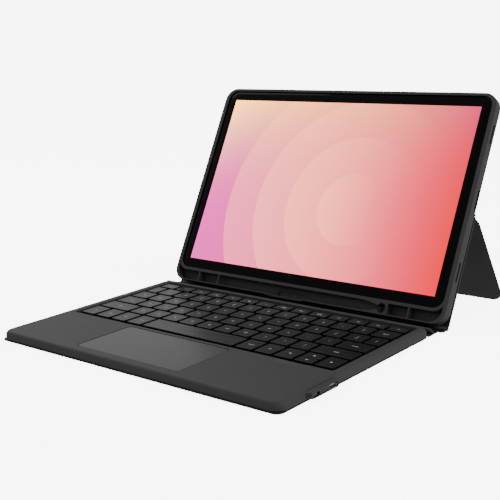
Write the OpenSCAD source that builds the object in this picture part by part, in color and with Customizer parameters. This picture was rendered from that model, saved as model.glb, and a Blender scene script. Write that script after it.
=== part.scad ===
// Tablet keyboard case: a flat keyboard deck on a leather cover, a leather spine,
// a moulded tray that holds a tablet over a pen bay, and a fold-out kickstand.
// The origin is the middle of the deck's underside. X is the width, +Y is the back, +Z is up.
// The tray, the back panel, the kickstand and the tablet are drawn in the tray's own frame:
// X is the width, Y runs up the screen and Z comes out of the screen, with Z = 0 on the glass.

/* [Deck] */
// Width of the keyboard deck
deck_w = 252; // [240:1:300]
// Depth of the keyboard deck from its front edge to its rear edge
deck_d = 176; // [168:1:220]
// Height of the deck's palm rest above the table
deck_h = 7.1; // [6.8:0.1:12]
// Radius of the deck's corners seen from above
deck_corner = 8.5; // [6:0.5:16]
// Radius of the leather cover's front corners
cover_corner = 5.5; // [3:0.5:16]
// Wall of the deck shell's top
deck_wall = 1.5; // [1.2:0.1:1.8]
// Radius that rounds the deck's edge
deck_edge = 3.3; // [2:0.1:3.4]
// Radius at the deck's lower edge
deck_under = 0.6; // [0.3:0.1:1.5]
// Leather that shows around the deck
cover_margin = 0.6; // [0.3:0.1:3]
// Thickness of the leather
leather_t = 1; // [0.8:0.1:1.5]

/* [Keys] */
// Width of the block of keys
keys_w = 231.6; // [225:0.1:232]
// Distance from the deck's middle line to the middle of the block of keys
keys_mid = 1; // [0:0.1:2]
// Distance from one letter key to the next
key_pitch = 16.85; // [16:0.05:17]
// Gap between two key caps
key_gap = 2.6; // [1.6:0.1:3]
// Depth of the function keys
function_key_d = 9.4; // [8:0.1:12]
// Depth of the keys in the front row
front_key_d = 17.7; // [14:0.1:18]
// Gap between the keys and the side walls of the well
key_side = 3.2; // [2:0.1:3.4]
// Gap between the keys and the front and rear walls of the well
key_margin = 4.5; // [2:0.1:5]
// Distance from the deck's rear edge to the well
well_rear = 7.1; // [6.9:0.1:14]
// Depth of the key tops below the palm rest
key_sunk = 0.3; // [0:0.1:0.6]
// Travel of a key
key_travel = 1.2; // [0.8:0.1:1.3]

/* [Trackpad] */
// Width of the trackpad
pad_w = 94; // [70:1:110]
// Depth of the trackpad
pad_d = 51; // [40:1:51]
// Distance from the deck's middle line to the trackpad's
pad_x = -6.5; // [-20:0.5:20]
// Palm rest between the well and the trackpad
pad_rear = 3.7; // [3:0.1:8]
// Groove around the trackpad
pad_groove = 0.5; // [0.3:0.1:1]

/* [Tablet] */
// Width of the tablet
tablet_w = 253.8; // [240:0.1:300]
// Height of the tablet across the screen
tablet_h = 165.3; // [155:0.1:200]
// Thickness of the tablet
tablet_t = 6.3; // [5:0.1:9]
// Width of the lit display
display_w = 236.9; // [220:0.1:238]
// Height of the lit display
display_h = 148.1; // [140:0.1:150]

/* [Tray] */
// Wall of the tray at the tablet's sides
tray_wall = 2.6; // [1.5:0.1:3]
// Wall of the tray above the tablet
tray_top_wall = 1.4; // [1.2:0.1:3]
// Back wall of the tray
tray_back = 1.8; // [1.2:0.1:3]
// Lip that holds the glass, measured out of the screen
lip_t = 1; // [0.8:0.1:1.5]
// Lip's overlap over the tablet
lip_over = 0.6; // [0.5:0.1:2]
// Height of the pen bay under the tablet
bay_h = 8.1; // [8:0.1:12]
// Wall between the tablet and the pen bay
bay_wall = 1.5; // [1.2:0.1:2.5]
// Tilt of the tablet from the table
tilt = 62; // [45:1:75]

/* [Kickstand] */
// Thickness of the back panel and the kickstand
panel_t = 1.9; // [1.8:0.1:3]
// Width of the back panel and the kickstand
panel_w = 259; // [240:1:310]
// Distance from the screen's middle down to the kickstand's hinge
hinge_drop = 7.5; // [0:0.5:30]
// Radius of the fold at the kickstand's hinge
fold_r = 0.8; // [0.5:0.1:0.9]

/* [Hidden] */
$fn = 48;
far = 400;           // longer than any cut needs to be
cut = 0.5;           // how far a cut runs past a face
skin_gap = 0.1;      // between two pieces that lie on each other
slide_gap = 0.3;     // around a piece that moves in its opening

// Deck levels
plate_z = leather_t;                              // underside of the bottom plate
plate_t = 0.8;
floor_z = plate_z + plate_t;                      // inner floor of the deck
shell_roof = deck_h - deck_wall;                  // underside of the palm rest
key_top = deck_h - key_sunk;
cap_t = 1.9;
cap_z = key_top - cap_t;                          // underside of a key cap
cap_roof = key_top - 0.9;
support_t = 0.4;                                  // steel plate under the keys
support_z = cap_z - key_travel - 0.3 - support_t;
membrane_t = 0.3;
membrane_z = support_z - membrane_t;
wall_in = 4;                                      // wall of the deck shell at its edge

// Key block
cap_w = key_pitch - key_gap;
letter_rows = 4;
keys_d = front_key_d + letter_rows * key_pitch + function_key_d + key_gap;
well_w = keys_w + 2 * key_side;
well_d = keys_d + 2 * key_margin;
well_y1 = deck_d / 2 - well_rear;
well_y0 = well_y1 - well_d;
well_corner = 2;
keys_x0 = keys_mid - keys_w / 2;
keys_x1 = keys_mid + keys_w / 2;
keys_y0 = well_y0 + key_margin;
function row_y0(row) = row == 0 ? keys_y0 : keys_y0 + front_key_d + key_gap + (row - 1) * key_pitch;
function row_d(row) = row == 0 ? front_key_d : row == letter_rows + 1 ? function_key_d : cap_w;
// A key is [left, right, front, rear]
function key(row, x0, x1) = [x0, x1, row_y0(row), row_y0(row) + row_d(row)];
function run(row, x0, count, pitch) =
    [for (i = [0:count - 1]) key(row, x0 + i * pitch, x0 + (i + 1) * pitch - key_gap)];
grave_w = 9.8;
tab_w = 15.2;
caps_w = 20.2;
shift_w = 29;
modifier_pitch = 16.35;
function_pitch = (keys_w + key_gap) / 14;
function after(w) = keys_x0 + w + key_gap;                      // where the letters start
function last(w, count) = after(w) + count * key_pitch;         // where the last key starts
modifiers_x = keys_x1 + key_gap - 5 * modifier_pitch;           // right of the space bar
arrows_x = modifiers_x + 2 * modifier_pitch;
half_gap = 0.8;
half_d = (front_key_d - half_gap) / 2;
up_x = arrows_x + modifier_pitch;

escape_keys = run(5, keys_x0, 1, function_pitch);
function_row = run(5, keys_x0 + function_pitch, 13, function_pitch);
grave = key(4, keys_x0, keys_x0 + grave_w);
numbers = run(4, after(grave_w), 12, key_pitch);
backspace = key(4, last(grave_w, 12), keys_x1);
tab = key(3, keys_x0, keys_x0 + tab_w);
upper_letters = run(3, after(tab_w), 12, key_pitch);
backslash = key(3, last(tab_w, 12), keys_x1);
caps = key(2, keys_x0, keys_x0 + caps_w);
home_letters = run(2, after(caps_w), 11, key_pitch);
enter = key(2, last(caps_w, 11), keys_x1);
left_shift = key(1, keys_x0, keys_x0 + shift_w);
lower_letters = run(1, after(shift_w), 10, key_pitch);
right_shift = key(1, last(shift_w, 10), keys_x1);
left_modifiers = run(0, keys_x0, 4, modifier_pitch);
space = key(0, keys_x0 + 4 * modifier_pitch, modifiers_x - key_gap);
right_modifiers = run(0, modifiers_x, 2, modifier_pitch);
left_arrow = key(0, arrows_x, up_x - key_gap);
down_arrow = [up_x, up_x + modifier_pitch - key_gap, keys_y0, keys_y0 + half_d];
up_arrow = [down_arrow[0], down_arrow[1], down_arrow[3] + half_gap, keys_y0 + front_key_d];
right_arrow = key(0, up_x + modifier_pitch, keys_x1);
every_key = concat(
    escape_keys, function_row, [grave], numbers, [backspace], [tab], upper_letters, [backslash],
    [caps], home_letters, [enter], [left_shift], lower_letters, [right_shift],
    left_modifiers, [space], right_modifiers, [left_arrow, up_arrow, down_arrow, right_arrow]
);

// Trackpad
pad_y1 = well_y0 - pad_rear;
pad_y0 = pad_y1 - pad_d;
pad_y = (pad_y0 + pad_y1) / 2;
pad_corner = 3;
pad_glass_t = 0.8;
pad_z = deck_h - 0.15 - pad_glass_t;
pad_board_t = 0.8;

// Indicator window, in front of the arrow keys
window_x0 = arrows_x + 4.4;
window_x1 = window_x0 + 25.5;
window_d = 5.1;
window_slant = 2.2;
window_t = 1;

// Ports on the right side
port_y0 = -64;
port_y1 = -29;
port_z0 = plate_z + 0.4;
port_z1 = deck_h - 1;
port_mid_z = (port_z0 + port_z1) / 2 - 0.2;
port_in = 7;                                      // how far the housing reaches into the deck
port_out = 3.4;                                   // how far it stands out of the deck
usb_w = 9;
usb_h = 3.3;
usb_depth = 7.4;
usb_y = -38;
switch_y = -55;
switch_slot = 6;
switch_h = 2.4;
switch_travel = 2;
knob_l = 3.4;

// Tray levels, measured from the glass
tray_floor = -(tablet_t + 0.8);                   // inner face of the tray's back wall
tray_z0 = tray_floor - tray_back;                 // outer face of the tray's back wall
liner_t = 0.6;
lip_z0 = 0.1;
lip_z1 = lip_z0 + lip_t;
panel_z0 = tray_z0 - panel_t;                     // outer face of the back panel
pocket_gap = 0.3;
pocket_w = tablet_w + 2 * pocket_gap;
pocket_h = tablet_h + 2 * pocket_gap;
tablet_corner = 9;
tray_w = pocket_w + 2 * tray_wall;
tray_y1 = pocket_h / 2 + tray_top_wall;
bay_y1 = -pocket_h / 2 - bay_wall;
bay_y0 = bay_y1 - bay_h;
bay_edge = 1.2;                                   // wall below the bay
bay_end = 2.9;                                    // wall at the bay's ends
tray_y0 = bay_y0 - bay_edge;
tray_h = tray_y1 - tray_y0;
tray_mid = (tray_y0 + tray_y1) / 2;
tray_corner = 11;

// Folds. Each axis lies on the upper face of the leather, so that the leather folds up freely
crease = 0.15;
spine_y0 = deck_d / 2 + 0.2;                      // fold between the deck and the spine
lip_rest = 1.3;                                   // gap between the closed tray and the deck
axis_y = tray_y0 - 0.15;                          // fold between the spine and the panel
axis_z = panel_z0 + leather_t;
spine_l = deck_h + lip_rest + lip_z1 - axis_z - leather_t;
spine_y1 = spine_y0 + spine_l;
screen_y = spine_y1 - (axis_y * cos(tilt) - axis_z * sin(tilt));
screen_z = leather_t - (axis_y * sin(tilt) + axis_z * cos(tilt));

// Kickstand hinge, in the tray's frame, and the swing that sets its tip on the table
kick_y = -hinge_drop;
kick_back = 0.2;
kick_z = panel_z0 + kick_back;
kick_cut = fold_r + 0.4;
kick_l = tray_y1 - kick_y;
kick_corner = 10;
kick_height = screen_z + kick_y * sin(tilt) + kick_z * cos(tilt);
kick_drop = asin((kick_height - 0.1) / norm([kick_l, kick_back])) - atan(kick_back / kick_l);
kick_swing = tilt + kick_drop;
skin_t = 0.8;
board_gap = 0.05;

// Pen bay
bay_floor = tray_floor + 0.2;
groove_x0 = -80.2;
neck_x = 75;
neck_h = 3.6;
taper_l = 18;
round_x = 78.1;
round_r = 3.7;
rib_t = 1;
recess_x = -6.4;
recess_w = 30.4;
cutaway_w = 35;

// Openings in the tray's edge
speaker_y = 53;
speaker_l = 15;
speaker_h = 2.4;
notch_y = 2.3;
notch_l = 14.6;
notch_z1 = -2.6;
volume_x = -46;
volume_l = 20;
power_x = -80;
power_l = 11;
button_h = 3.2;
button_z = -3.2;
button_proud = 0.7;
camera_x = -106;
camera_y = 66;
camera_w = 32;
camera_h = 17;

// Shapes
module rounded_rect(w, d, r) {
    square([w - 2 * r, d], center = true);
    square([w, d - 2 * r], center = true);
    for (sx = [-1, 1], sy = [-1, 1]) translate([sx * (w / 2 - r), sy * (d / 2 - r)]) circle(r);
}

module plate(w, d, t, r) linear_extrude(t) rounded_rect(w, d, r);

// A plate whose upper and lower edges are rounded
module soft_plate(w, d, t, corner, upper, lower) hull()
    for (sx = [-1, 1], sy = [-1, 1]) translate([sx * (w / 2 - corner), sy * (d / 2 - corner), 0])
        rotate_extrude($fn = 48) intersection() {
            square([corner, t]);
            union() {
                translate([corner - upper, t - upper]) circle(upper, $fn = 32);
                translate([corner - lower, lower]) circle(lower, $fn = 32);
                square([corner - max(upper, lower), t]);
            }
        }

// A slot with round ends, its length along X, its height along Y
module stadium(l, h) {
    square([l - h, h], center = true);
    for (s = [-1, 1]) translate([s * (l - h) / 2, 0]) circle(h / 2);
}

module in_tray() translate([0, screen_y, screen_z]) rotate([tilt, 0, 0]) children();
module in_kickstand() in_tray() translate([0, kick_y, kick_z]) rotate([-kick_swing, 0, 0]) children();
module on_side(y, z) translate([deck_w / 2, y, z]) rotate([90, 0, 90]) children();

// Key cap: a shallow hollow shell with a bevelled top
module cap(k) {
    w = k[1] - k[0];
    d = k[3] - k[2];
    bevel = 0.25;
    translate([(k[0] + k[1]) / 2, (k[2] + k[3]) / 2, 0]) difference() {
        union() {
            translate([0, 0, cap_z]) plate(w, d, cap_t - bevel, 1.3);
            translate([0, 0, key_top - bevel]) plate(w - 2 * bevel, d - 2 * bevel, bevel, 1.1);
        }
        translate([-w / 2 + 1, -d / 2 + 1, cap_z - cut]) cube([w - 2, d - 2, cap_roof - cap_z + cut]);
    }
}
module caps_of(keys, shade) color(shade) for (k = keys) cap(k);

// Deck
module base_cover() color([0.16, 0.16, 0.17])
    translate([0, (spine_y0 - crease - deck_d / 2 - cover_margin) / 2, 0])
        plate(deck_w + 2 * cover_margin, deck_d / 2 + cover_margin + spine_y0 - crease, leather_t, cover_corner);

screw_xs = [-deck_w / 2 + 11, deck_w / 2 - 11];
screw_ys = [-deck_d / 2 + 12, well_y0 - 8];
screw_l = 2.6;

module bottom_plate() color([0.2, 0.2, 0.21]) difference() {
    translate([0, 0, plate_z]) plate(deck_w - 2 * wall_in - 0.4, deck_d - 2 * wall_in - 0.4, plate_t, deck_corner - wall_in);
    for (x = screw_xs, y = screw_ys) translate([x, y, plate_z - cut]) cylinder(r = 0.8, h = plate_t + 2 * cut);
    // Room for the port housing
    translate([deck_w / 2 - port_in - 0.2, port_y0 + 3 - 0.2, plate_z - cut])
        cube([far, port_y1 - port_y0 - 6 + 0.4, plate_t + 2 * cut]);
}

module deck_screws() color([0.6, 0.6, 0.6]) for (x = screw_xs, y = screw_ys) translate([x, y, 0]) {
    translate([0, 0, plate_z + 0.05]) cylinder(r = 0.7, h = screw_l);
}

module window_outline(grow) polygon([
    [window_x0 - grow - window_slant * 0.4, well_y0 + 0.6], [window_x1 + grow + window_slant * 0.4, well_y0 + 0.6],
    [window_x1 + grow - window_slant, well_y0 - window_d - grow], [window_x0 - grow + window_slant, well_y0 - window_d - grow]
]);

module deck_shell() color([0.36, 0.36, 0.37]) difference() {
    union() {
        difference() {
            translate([0, 0, plate_z]) soft_plate(deck_w, deck_d, deck_h - plate_z, deck_corner, deck_edge, deck_under);
            translate([0, 0, plate_z - cut])
                plate(deck_w - 2 * wall_in, deck_d - 2 * wall_in, shell_roof - plate_z + cut, deck_corner - wall_in);
        }
        // Skirt of the well
        translate([keys_mid, (well_y0 + well_y1) / 2, support_z + support_t + skin_gap])
            plate(well_w + 3, well_d + 3, shell_roof - support_z - support_t, well_corner + 1.5);
        // Bosses for the screws
        for (x = screw_xs, y = screw_ys) translate([x, y, floor_z + skin_gap]) cylinder(r = 2.2, h = shell_roof - floor_z);
    }
    translate([keys_mid, (well_y0 + well_y1) / 2, 0]) plate(well_w, well_d, far, well_corner);
    translate([pad_x, pad_y, 0]) plate(pad_w + 2 * pad_groove, pad_d + 2 * pad_groove, far, pad_corner + pad_groove);
    translate([0, 0, deck_h - window_t - 0.2]) linear_extrude(far) window_outline(0.1);
    // Seat of the port housing
    translate([deck_w / 2 - port_in - 0.1, port_y0 + 3 - 0.1, plate_z - cut])
        cube([far, port_y1 - port_y0 - 6 + 0.2, port_z1 - plate_z + cut + 0.1]);
    for (x = screw_xs, y = screw_ys) translate([x, y, 0]) cylinder(r = 0.75, h = plate_z + screw_l + 0.3);
}

// Port housing: a flared block with a sunk face for the switch and the charging port
module port_housing() color([0.27, 0.27, 0.28]) difference() {
    union() {
        translate([deck_w / 2 - port_in, port_y0 + 3, port_z0]) cube([port_in + 0.2, port_y1 - port_y0 - 6, port_z1 - port_z0]);
        hull() {
            translate([deck_w / 2 + 0.15, port_y0, port_z0]) cube([0.2, port_y1 - port_y0, port_z1 - port_z0]);
            on_side((port_y0 + port_y1) / 2, port_mid_z) translate([0, 0, port_out - 0.2])
                linear_extrude(0.2) stadium(port_y1 - port_y0 - 5, port_z1 - port_z0 - 0.3);
        }
    }
    on_side((usb_y + switch_y) / 2, port_mid_z) translate([0, 0, port_out - 0.6])
        linear_extrude(far) stadium(port_y1 - port_y0 - 7, port_z1 - port_z0 - 1.3);
    on_side(usb_y, port_mid_z) translate([0, 0, -far / 2]) linear_extrude(far) stadium(usb_w + 0.1, usb_h + 0.1);
    on_side(switch_y, port_mid_z) translate([0, 0, -far / 2]) linear_extrude(far) stadium(switch_slot, switch_h);
}

module usb_receptacle() color([0.7, 0.7, 0.72]) on_side(usb_y, port_mid_z) translate([0, 0, port_out - 0.8 - usb_depth]) {
    difference() {
        linear_extrude(usb_depth) stadium(usb_w, usb_h);
        translate([0, 0, 0.5]) linear_extrude(far) stadium(usb_w - 0.6, usb_h - 0.6);
    }
    translate([-3.3, -0.35, 0.3]) cube([6.6, 0.7, usb_depth - 1.6]);
}

module switch_body() color([0.1, 0.1, 0.1])
    translate([deck_w / 2 - port_in - 3.2, switch_y - 4, port_mid_z - 1.3]) cube([3, 8, 2.6]);

// Drawn in the off position, at the front end of its slot
module switch_knob() color([0.08, 0.08, 0.08]) on_side(switch_y - switch_travel / 2, port_mid_z)
    translate([0, 0, -port_in - 0.1]) linear_extrude(port_in + port_out - 0.8) stadium(knob_l, switch_h - 0.3);

module main_board() color([0.08, 0.25, 0.16]) {
    translate([deck_w / 2 - 48, -78, floor_z + 0.5]) cube([34, 50, 0.8]);
    for (y = [-70, -56, -44]) translate([deck_w / 2 - 41, y, floor_z + 1.3]) cube([8, 7, 0.9]);
}

module battery() color([0.75, 0.76, 0.78])
    translate([-deck_w / 2 + 14, pad_y0, floor_z + 0.2]) cube([48, pad_d - 4, 2.6]);

module flex_cable() color([0.7, 0.45, 0.15])
    translate([pad_x + 20, pad_y1 - 8, floor_z + 0.1]) cube([deck_w / 2 - 48 - pad_x - 19, 5, 0.2]);

module deck_magnets() color([0.65, 0.65, 0.67]) for (s = [-1, 1])
    translate([s * (deck_w / 2 - 9.5), -deck_d / 2 + 21.5, floor_z + 0.4]) cylinder(r = 3, h = 1.8);

module indicator_window() color([0.1, 0.1, 0.11]) intersection() {
    translate([0, 0, deck_h - window_t - 0.1]) linear_extrude(window_t - 0.1) window_outline(0);
    translate([0, well_y0 - far / 2, 0]) cube([far * 2, far, far], center = true);
}

module status_leds() color([0.9, 0.95, 0.9]) for (i = [0:3])
    translate([window_x0 + 5 + i * 5, well_y0 - window_d + 1.2, deck_h - window_t - 1.4]) cube([1.6, 0.8, 0.6]);

module key_membrane() color([0.13, 0.13, 0.14])
    translate([keys_mid, (well_y0 + well_y1) / 2, membrane_z]) plate(well_w + 2.6, well_d + 2.6, membrane_t - 0.05, well_corner + 1);

function key_x(k) = (k[0] + k[1]) / 2;
function key_y(k) = (k[2] + k[3]) / 2;
dome_r = 2.7;

module key_plate() color([0.12, 0.12, 0.13]) difference() {
    translate([keys_mid, (well_y0 + well_y1) / 2, support_z]) plate(well_w + 2.6, well_d + 2.6, support_t, well_corner + 1);
    for (k = every_key) translate([key_x(k), key_y(k), 0]) cylinder(r = dome_r + 0.3, h = far);
}

// One rubber dome under each key
module rubber_domes() color([0.85, 0.85, 0.82]) for (k = every_key) translate([key_x(k), key_y(k), membrane_z + membrane_t])
    rotate_extrude($fn = 24) polygon([
        [0, 0], [dome_r, 0], [dome_r, 0.4], [1.5, cap_roof - membrane_z - membrane_t - 0.8],
        [1.5, cap_roof - membrane_z - membrane_t - 0.05], [0, cap_roof - membrane_z - membrane_t - 0.05]
    ]);

// One scissor frame under each key
module scissor_lifts() color([0.75, 0.75, 0.73]) for (k = every_key) translate([key_x(k), key_y(k), support_z + support_t + 0.1]) {
    d = min(10, k[3] - k[2] - 2.4);
    difference() {
        translate([-5.3, -d / 2, 0]) cube([10.6, d, 1]);
        translate([-4.3, -d / 2 + 0.5, -cut]) cube([8.6, d - 1, 1 + 2 * cut]);
    }
}

// Trackpad
module trackpad_frame() color([0.15, 0.15, 0.16]) translate([pad_x, pad_y, 0]) difference() {
    translate([0, 0, floor_z + 0.6]) plate(pad_w - 4, pad_d - 4, 1.2, 2);
    translate([0, 0, floor_z + 1]) plate(pad_w - 7, pad_d - 7, far, 1);
    translate([-5, -pad_d / 2 + 4, 0]) cube([10, 8, far]);
}

module trackpad_switch() color([0.5, 0.5, 0.52]) translate([pad_x, pad_y0 + 8, floor_z + 0.1]) {
    translate([-3, -3, 0]) cube([6, 6, 1]);
    cylinder(r = 1.4, h = pad_z - pad_board_t - floor_z - 0.9);
}

module trackpad_board() color([0.08, 0.25, 0.16])
    translate([pad_x, pad_y, pad_z - pad_board_t - 0.05]) plate(pad_w - 3, pad_d - 3, pad_board_t, 2);

module trackpad_glass() color([0.4, 0.4, 0.41])
    translate([pad_x, pad_y, pad_z]) plate(pad_w, pad_d, pad_glass_t, pad_corner);

// Spine and back panel. The sheet widens to the panel's width just before its fold
spine_wide = 7;
module spine() color([0.16, 0.16, 0.17]) linear_extrude(leather_t) {
    translate([-deck_w / 2, spine_y0 + crease]) square([deck_w, spine_l - spine_wide]);
    translate([0, spine_y1 - crease]) sheet(0, -spine_wide, panel_w, 3);
}

// A panel sheet between two heights, with round outer corners at its far end
module sheet(y0, y1, w, corner) {
    s = sign(y1 - y0);
    translate([-w / 2, min(y0, y1 - s * corner)]) square([w, abs(y1 - y0) - corner]);
    translate([-w / 2 + corner, min(y0, y1)]) square([w - 2 * corner, abs(y1 - y0)]);
    for (sx = [-1, 1]) translate([sx * (w / 2 - corner), y1 - s * corner]) circle(corner);
}

module back_panel_skin() color([0.13, 0.13, 0.14]) in_tray()
    translate([0, 0, panel_z0]) linear_extrude(skin_t) sheet(kick_y - kick_cut, axis_y + crease, panel_w, 4);

module back_panel_board() color([0.2, 0.2, 0.21]) in_tray()
    translate([0, 0, panel_z0 + skin_t + board_gap])
        linear_extrude(panel_t - skin_t - 2 * board_gap) sheet(kick_y - kick_cut, axis_y + 0.8, panel_w - 0.8, 4);

module kickstand_fold() color([0.13, 0.13, 0.14]) in_tray()
    translate([0, kick_y, kick_z]) rotate([0, 90, 0]) cylinder(r = fold_r, h = panel_w - 1.2, center = true);

module kickstand_camera_hole() translate([camera_x, camera_y - kick_y]) rounded_rect(camera_w, camera_h, 6);

module kickstand_skin() color([0.13, 0.13, 0.14]) in_kickstand() translate([0, 0, -kick_back])
    linear_extrude(skin_t) difference() {
        sheet(kick_cut, kick_l, panel_w, kick_corner);
        kickstand_camera_hole();
    }

module kickstand_board() color([0.1, 0.1, 0.11]) in_kickstand() translate([0, 0, -kick_back + skin_t + board_gap]) difference() {
    linear_extrude(panel_t - skin_t - 2 * board_gap) difference() {
        sheet(kick_cut, kick_l - 0.4, panel_w - 0.8, kick_corner);
        kickstand_camera_hole();
    }
    for (x = kick_magnets) translate([x, kick_l - 14, -cut]) cylinder(r = 5.1, h = cut + kick_magnet_t + 0.1);
}
kick_magnets = [-30, 30, 100];
kick_magnet_t = 0.6;

module kickstand_magnets() color([0.65, 0.65, 0.67]) in_kickstand() for (x = kick_magnets)
    translate([x, kick_l - 14, -kick_back + skin_t + board_gap]) cylinder(r = 5, h = kick_magnet_t);

// Tray
module bay_cuts() {
    mid = (bay_y0 + bay_y1) / 2;
    bay_z = bay_floor + 0.4;
    // Pen groove, its bullet-shaped taper and the round pocket at its end
    translate([groove_x0, bay_y0, bay_z + bay_h / 2]) cube([neck_x - taper_l - groove_x0, bay_h, far]);
    translate([groove_x0, mid, bay_z + bay_h / 2]) rotate([0, 90, 0]) cylinder(r = bay_h / 2, h = neck_x - taper_l - groove_x0);
    taper = [for (i = [0:8]) [neck_x - taper_l * (1 - i / 8), neck_h / 2 + (bay_h - neck_h) / 2 * (1 - pow(i / 8, 2))]];
    translate([0, mid, bay_z + 0.8]) linear_extrude(far) polygon(concat(
        [[neck_x - taper_l - 1, bay_h / 2]], taper, [[round_x, neck_h / 2], [round_x, -neck_h / 2]],
        [for (i = [8:-1:0]) [taper[i][0], -taper[i][1]]], [[neck_x - taper_l - 1, -bay_h / 2]]
    ));
    translate([round_x, mid, bay_floor]) cylinder(r = round_r, h = far);
    // Pockets beside the groove
    pocket(-tray_w / 2, -102.5);
    pocket(-101.5, groove_x0 - rib_t);
    pocket(round_x + round_r + 1.2, 100);
    pocket(100 + rib_t, tray_w / 2);
    // Finger recess in the groove's floor, and the lip cut away in front of it
    translate([recess_x, bay_y0 + 2.2, tray_z0 + 0.9]) plate(recess_w, 4.4, far, 2);
    translate([recess_x - 4.8, bay_y0, -4]) rotate([90, 0, 0]) linear_extrude(far) polygon([
        [-cutaway_w / 2 + 3, 0], [cutaway_w / 2 - 3, 0], [cutaway_w / 2 + 2.5, 6], [-cutaway_w / 2 - 2.5, 6]
    ]);
}
// A pocket of the bay, between the tray's rounded corner and the wall around the tablet
module pocket(x0, x1) difference() {
    intersection() {
        translate([x0, bay_y0, bay_floor]) cube([x1 - x0, bay_h + tablet_corner, far]);
        translate([0, tray_mid, bay_floor]) plate(tray_w - 2 * bay_end, tray_h - 2 * bay_edge, far, tray_corner - bay_edge);
    }
    translate([0, 0, bay_floor - cut])
        plate(pocket_w + 2 * bay_wall, pocket_h + 2 * bay_wall, far, tablet_corner + pocket_gap + bay_wall);
}

module edge_openings() {
    // Speaker slits on both sides
    for (s = [-1, 1], y = [-speaker_y, speaker_y]) translate([s * tray_w / 2, y, -3])
        rotate([90, 0, 90]) translate([0, 0, -4]) linear_extrude(8) stadium(speaker_l, speaker_h);
    // Charging notch, open towards the back
    translate([tablet_w / 2 - 1.4, notch_y - notch_l / 2, -far + notch_z1]) cube([far, notch_l, far]);
    // Button slots in the top wall
    for (b = [[volume_x, volume_l], [power_x, power_l]]) translate([b[0], tray_y1, button_z])
        rotate([90, 0, 0]) translate([0, 0, -3]) linear_extrude(6) stadium(b[1] + 2 * slide_gap, button_h + 2 * slide_gap);
    // Camera
    translate([camera_x, camera_y, tray_z0 - cut]) plate(camera_w, camera_h, 2 + tray_back, 6);
}

module tray() color([0.28, 0.28, 0.29]) in_tray() difference() {
    translate([0, tray_mid, tray_z0]) soft_plate(tray_w, tray_h, lip_z0 - tray_z0, tray_corner, 0.4, 2.4);
    translate([0, 0, tray_floor]) plate(pocket_w, pocket_h, far, tablet_corner + pocket_gap);
    bay_cuts();
    edge_openings();
}

module tray_lip() color([0.28, 0.28, 0.29]) in_tray() difference() {
    translate([0, tray_mid, lip_z0]) soft_plate(tray_w, tray_h, lip_t, tray_corner, 0.9, 0.1);
    translate([0, 0, -1]) plate(tablet_w - 2 * lip_over, tablet_h - 2 * lip_over, far, tablet_corner - 0.5);
    pocket(-tray_w / 2, tray_w / 2);
    bay_cuts();
}

module tray_liner() color([0.2, 0.2, 0.21]) in_tray() difference() {
    translate([0, 0, tray_floor + 0.05]) plate(pocket_w - 1, pocket_h - 1, liner_t, tablet_corner);
    edge_openings();
}

// A button cover: a pad in the slot, with a rounded bar standing out of the wall
module button_cover(x, l) in_tray() translate([x, tray_y1 - tray_top_wall + 0.65, button_z]) rotate([-90, 0, 0])
    linear_extrude(tray_top_wall - 0.65 + button_proud) stadium(l, button_h);
module volume_cover() color([0.25, 0.25, 0.26]) button_cover(volume_x, volume_l);
module power_cover() color([0.25, 0.25, 0.26]) button_cover(power_x, power_l);

// Tablet
glass_t = 0.7;
module tablet_shell() color([0.55, 0.56, 0.58]) in_tray() difference() {
    translate([0, 0, -tablet_t]) soft_plate(tablet_w, tablet_h, tablet_t - glass_t, tablet_corner, 0.3, 2);
    translate([0, 0, -glass_t - 0.7]) plate(display_w + 0.4, display_h + 0.4, far, 3);
    translate([tablet_w / 2 - 6, notch_y, -3.2]) rotate([90, 0, 90]) linear_extrude(far) stadium(9.2, 3.2);
}

module tablet_display() color([0.9, 0.45, 0.45]) in_tray()
    translate([0, 0, -glass_t - 0.65]) plate(display_w, display_h, 0.55, 2.5);

module tablet_glass() color([0.03, 0.03, 0.03]) in_tray()
    translate([0, 0, -glass_t + 0.02]) plate(tablet_w - 0.8, tablet_h - 0.8, glass_t - 0.02, tablet_corner - 0.4);

module tablet_camera() color([0.1, 0.1, 0.11]) in_tray()
    translate([camera_x, camera_y, -tablet_t - 1.1]) linear_extrude(1.08) stadium(camera_w - 6, camera_h - 5);

base_cover();
bottom_plate();
deck_shell();
deck_screws();
port_housing();
usb_receptacle();
switch_body();
switch_knob();
main_board();
battery();
flex_cable();
deck_magnets();
indicator_window();
status_leds();
key_membrane();
key_plate();
rubber_domes();
scissor_lifts();
trackpad_frame();
trackpad_switch();
trackpad_board();
trackpad_glass();
caps_of(escape_keys, "dimgray");  // escape_key
caps_of(function_row, "dimgray");  // function_keys
caps_of([grave], "dimgray");  // grave_key
caps_of(numbers, "dimgray");  // number_keys
caps_of([backspace], "dimgray");  // backspace_key
caps_of([tab], "dimgray");  // tab_key
caps_of(upper_letters, "dimgray");  // upper_letter_keys
caps_of([backslash], "dimgray");  // backslash_key
caps_of([caps], "dimgray");  // caps_key
caps_of(home_letters, "dimgray");  // home_letter_keys
caps_of([enter], "dimgray");  // enter_key
caps_of([left_shift], "dimgray");  // left_shift_key
caps_of(lower_letters, "dimgray");  // lower_letter_keys
caps_of([right_shift], "dimgray");  // right_shift_key
caps_of(left_modifiers, "dimgray");  // left_modifier_keys
caps_of([space], "dimgray");  // space_key
caps_of(right_modifiers, "dimgray");  // right_modifier_keys
caps_of([left_arrow], "dimgray");  // left_arrow_key
caps_of([up_arrow], "dimgray");  // up_arrow_key
caps_of([down_arrow], "dimgray");  // down_arrow_key
caps_of([right_arrow], "dimgray");  // right_arrow_key
spine();
back_panel_skin();
back_panel_board();
kickstand_fold();
kickstand_skin();
kickstand_board();
kickstand_magnets();
tray();
tray_lip();
tray_liner();
volume_cover();
power_cover();
tablet_shell();
tablet_display();
tablet_glass();
tablet_camera();
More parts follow.
